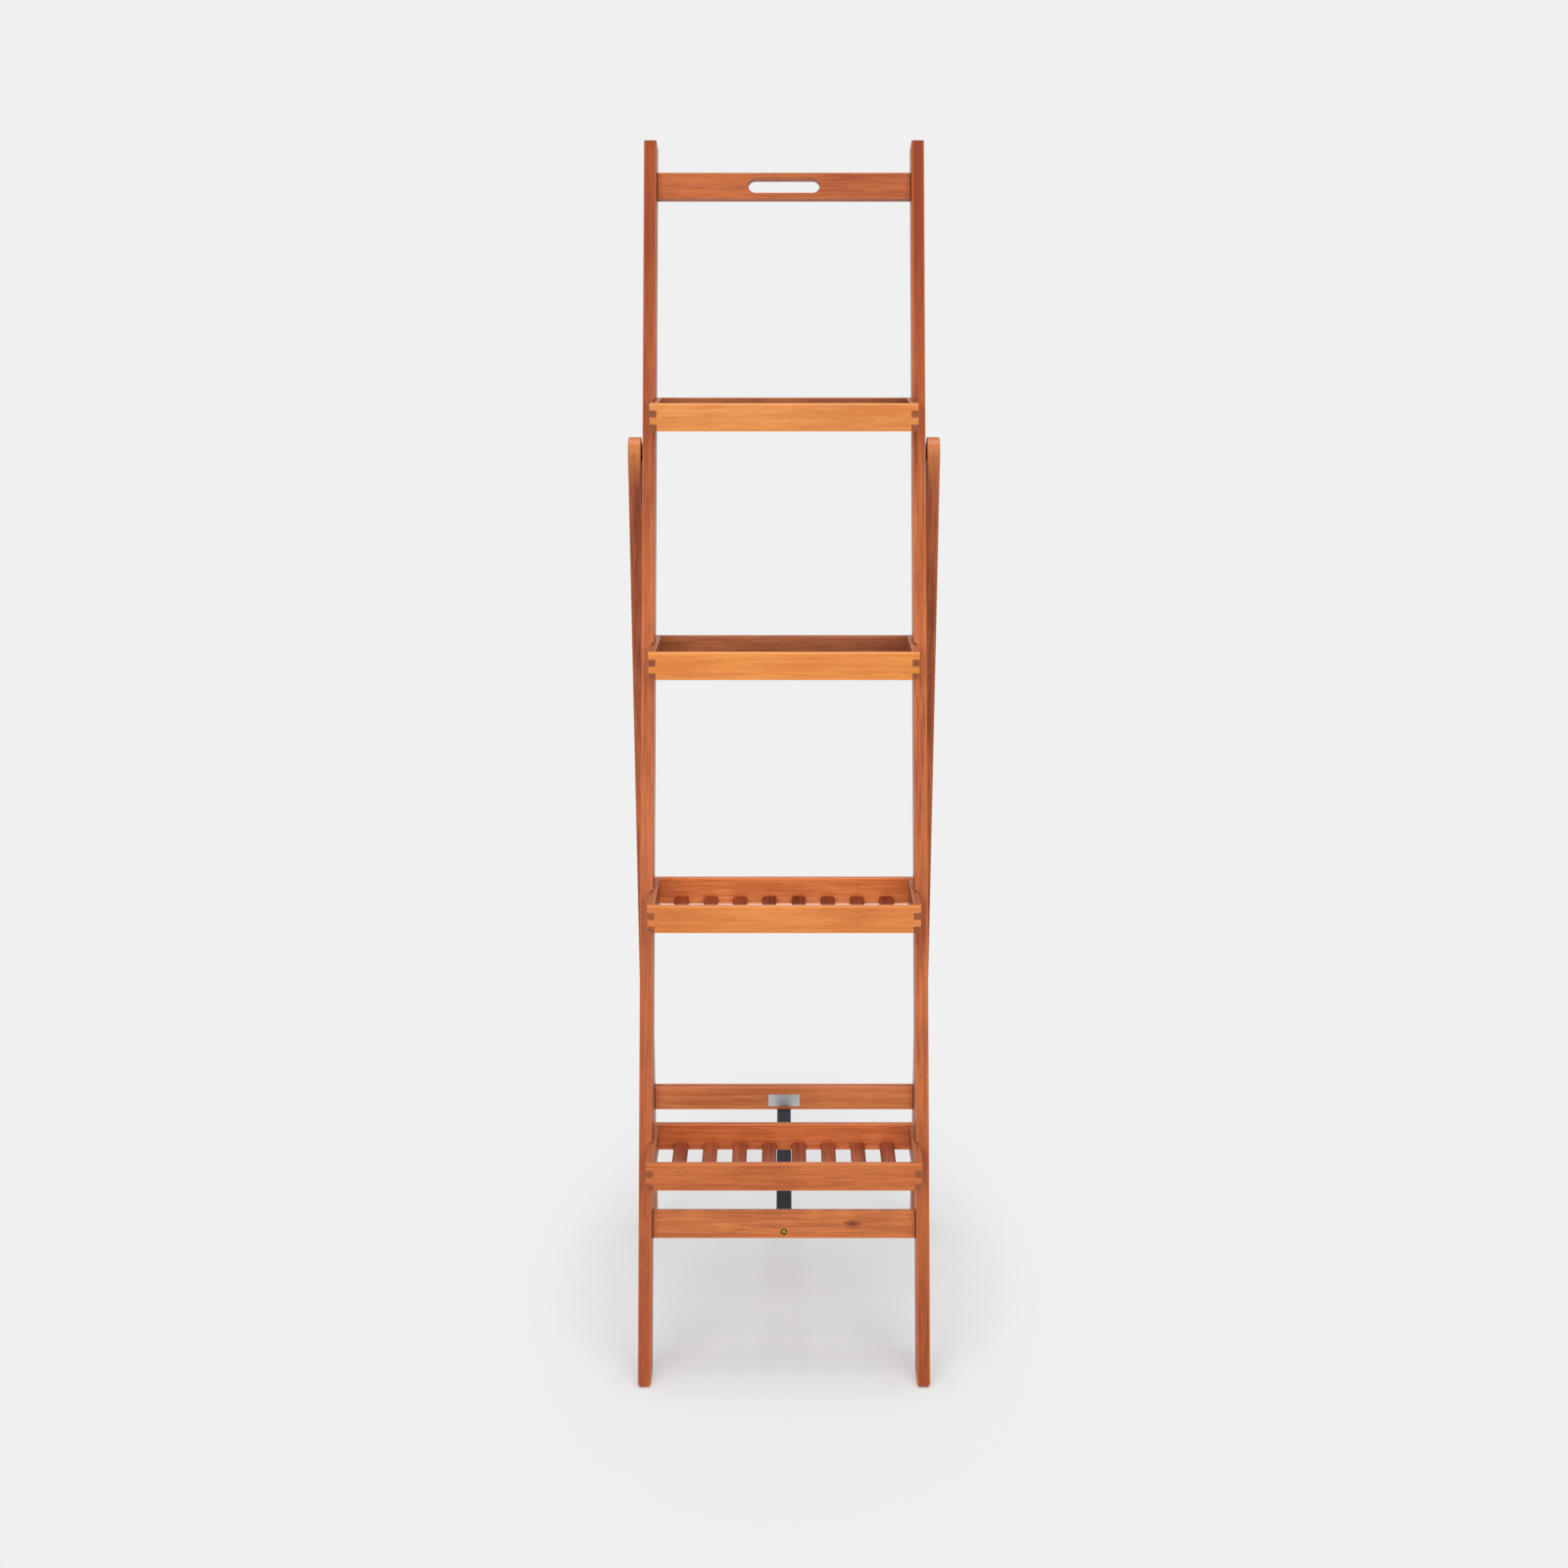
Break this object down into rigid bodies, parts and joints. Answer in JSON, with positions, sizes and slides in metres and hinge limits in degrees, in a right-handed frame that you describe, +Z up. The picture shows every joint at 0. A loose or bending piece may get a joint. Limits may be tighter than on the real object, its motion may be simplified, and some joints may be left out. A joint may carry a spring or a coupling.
{
  "type": "folding tiered shelf",
  "caption": "Folding wooden ladder shelf with a leaning front frame, hinged rear legs held by a webbing strap, and slatted trays that slide in grooves.",
  "frame": {"origin": "on the floor, under the middle of the open shelf's bounding box", "axes": "+X to the right seen from the front, +Y to the back, +Z up"},
  "size_m": [0.415, 0.5348, 1.5686],
  "materials": {
    "frame_wood": "oiled reddish-brown hardwood, satin",
    "tray_wood": "oiled orange-brown hardwood, satin",
    "webbing": "woven black webbing",
    "plate_metal": "brushed, bare",
    "brass": "dull brass",
    "steel": "zinc-plated",
    "glide_plastic": "dark brown nail-on glide",
    "spacer_plastic": "dark plastic"
  },
  "bodies": {
    "front_frame": {"left_stile": "frame_wood", "left_front_glide": "glide_plastic", "right_stile": "frame_wood", "right_front_glide": "glide_plastic", "top_rail": "frame_wood", "front_stretcher": "frame_wood", "left_pivot_bolt": "brass", "left_sleeve_nut": "brass", "left_spacer": "spacer_plastic", "right_pivot_bolt": "brass", "right_sleeve_nut": "brass", "right_spacer": "spacer_plastic", "strap": "webbing", "strap_insert": "brass", "strap_bolt": "steel", "strap_front_washer": "steel"},
    "rear_legs": {"left_rear_leg": "frame_wood", "left_rear_glide": "glide_plastic", "right_rear_leg": "frame_wood", "right_rear_glide": "glide_plastic", "rear_stretcher": "frame_wood", "metal_plate": "plate_metal", "strap_screw": "steel", "strap_rear_washer": "steel"},
    "bottom_tray": {"bottom_tray_front": "tray_wood", "bottom_tray_back": "tray_wood", "bottom_tray_left": "tray_wood", "bottom_tray_right": "tray_wood", "bottom_tray_slats": "tray_wood"},
    "lower_tray": {"lower_tray_front": "tray_wood", "lower_tray_back": "tray_wood", "lower_tray_left": "tray_wood", "lower_tray_right": "tray_wood", "lower_tray_slats": "tray_wood"},
    "upper_tray": {"upper_tray_front": "tray_wood", "upper_tray_back": "tray_wood", "upper_tray_left": "tray_wood", "upper_tray_right": "tray_wood", "upper_tray_slats": "tray_wood"},
    "top_tray": {"top_tray_front": "tray_wood", "top_tray_back": "tray_wood", "top_tray_left": "tray_wood", "top_tray_right": "tray_wood", "top_tray_slats": "tray_wood"}
  },
  "joints": [
    {"name": "leg_fold", "type": "hinge", "parent": "front_frame", "child": "rear_legs", "pos_m": [0, 0.12155, 1.162], "axis": [-1, 0, 0], "range_deg": [0, 20], "deforming": ["strap"]},
    {"name": "bottom_tray_slide", "type": "slide", "parent": "front_frame", "child": "bottom_tray", "axis": [0, -1, 0], "range_m": [-0.05, 0.075]},
    {"name": "lower_tray_slide", "type": "slide", "parent": "front_frame", "child": "lower_tray", "axis": [0, -1, 0], "range_m": [-0.05, 0.075]},
    {"name": "upper_tray_slide", "type": "slide", "parent": "front_frame", "child": "upper_tray", "axis": [0, -1, 0], "range_m": [-0.05, 0.075]},
    {"name": "top_tray_slide", "type": "slide", "parent": "front_frame", "child": "top_tray", "axis": [0, -1, 0], "range_m": [-0.05, 0.075]}
  ]
}
